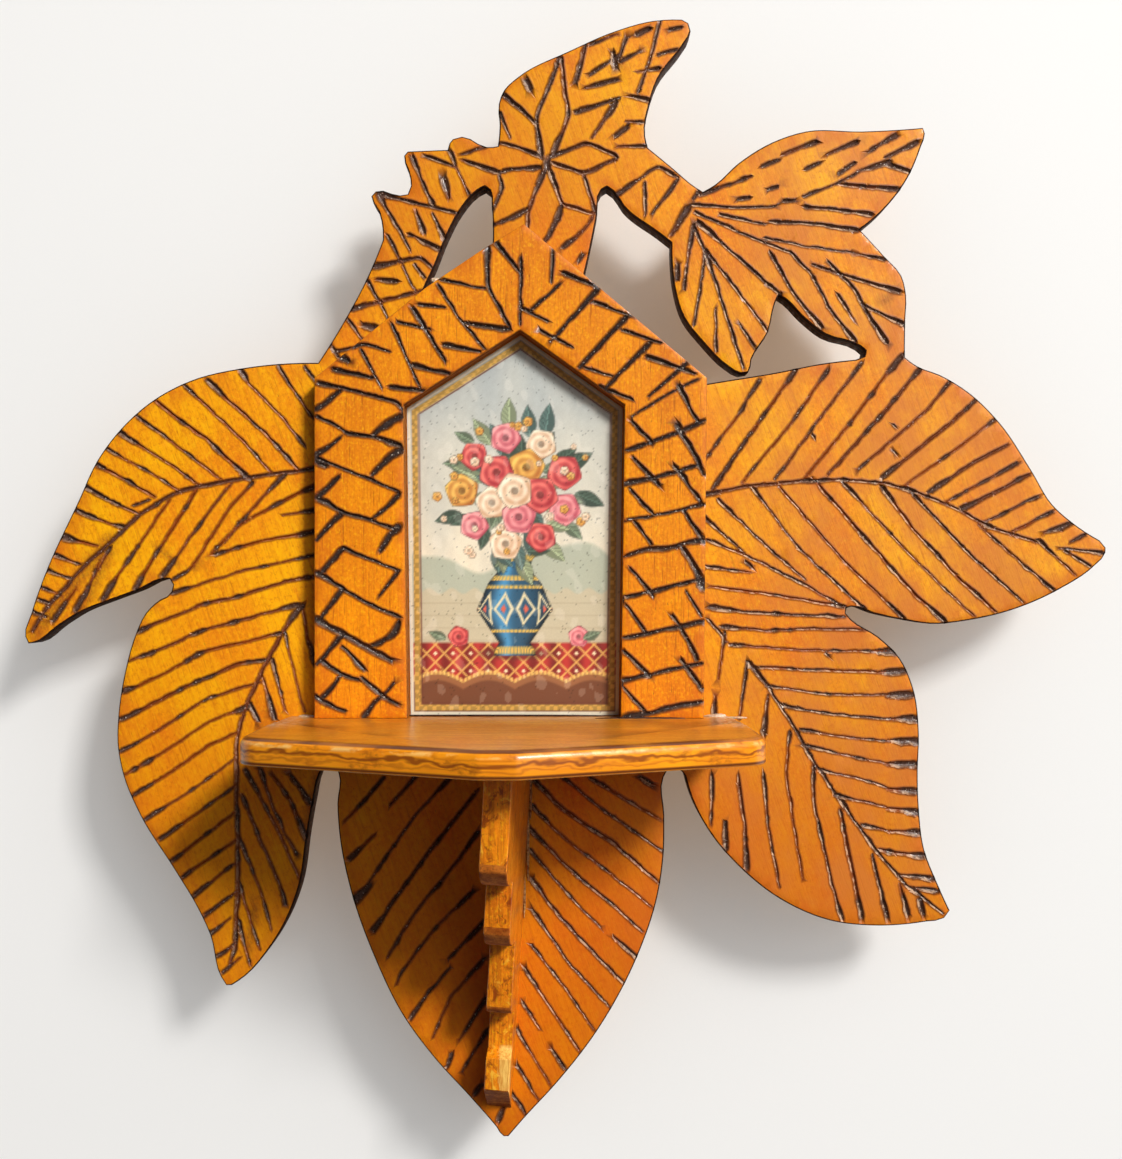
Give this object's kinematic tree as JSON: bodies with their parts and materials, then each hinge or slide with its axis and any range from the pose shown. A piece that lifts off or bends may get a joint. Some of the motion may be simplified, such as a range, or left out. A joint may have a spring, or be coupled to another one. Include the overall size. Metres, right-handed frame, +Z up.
{
  "type": "retablo box",
  "caption": "Scroll-sawn plywood wall retablo: leaf-spray back board, house-shaped arch frame round a picture niche, and a small pointed shelf on a stepped bracket.",
  "frame": {"origin": "centre of the mouth of the blind hanging hole, on the back of the board, which is the wall plane", "axes": "+X to the viewer's right, +Y into the wall, +Z up; the front faces -Y"},
  "size_m": [0.2703, 0.071, 0.2794],
  "materials": {
    "board_ply": "amber varnish, satin gloss",
    "frame_ply": "amber varnish, satin gloss",
    "shelf_ply": "amber varnish, gloss",
    "bracket_ply": "amber varnish, gloss",
    "card": "printed, satin",
    "nail_steel": "bright wire"
  },
  "bodies": {
    "root": {"back_board": "board_ply", "arch_frame": "frame_ply", "picture_card": "card", "shelf": "shelf_ply", "bracket": "bracket_ply", "frame_nails": "nail_steel", "shelf_nails": "nail_steel", "bracket_nails": "nail_steel"}
  },
  "joints": []
}
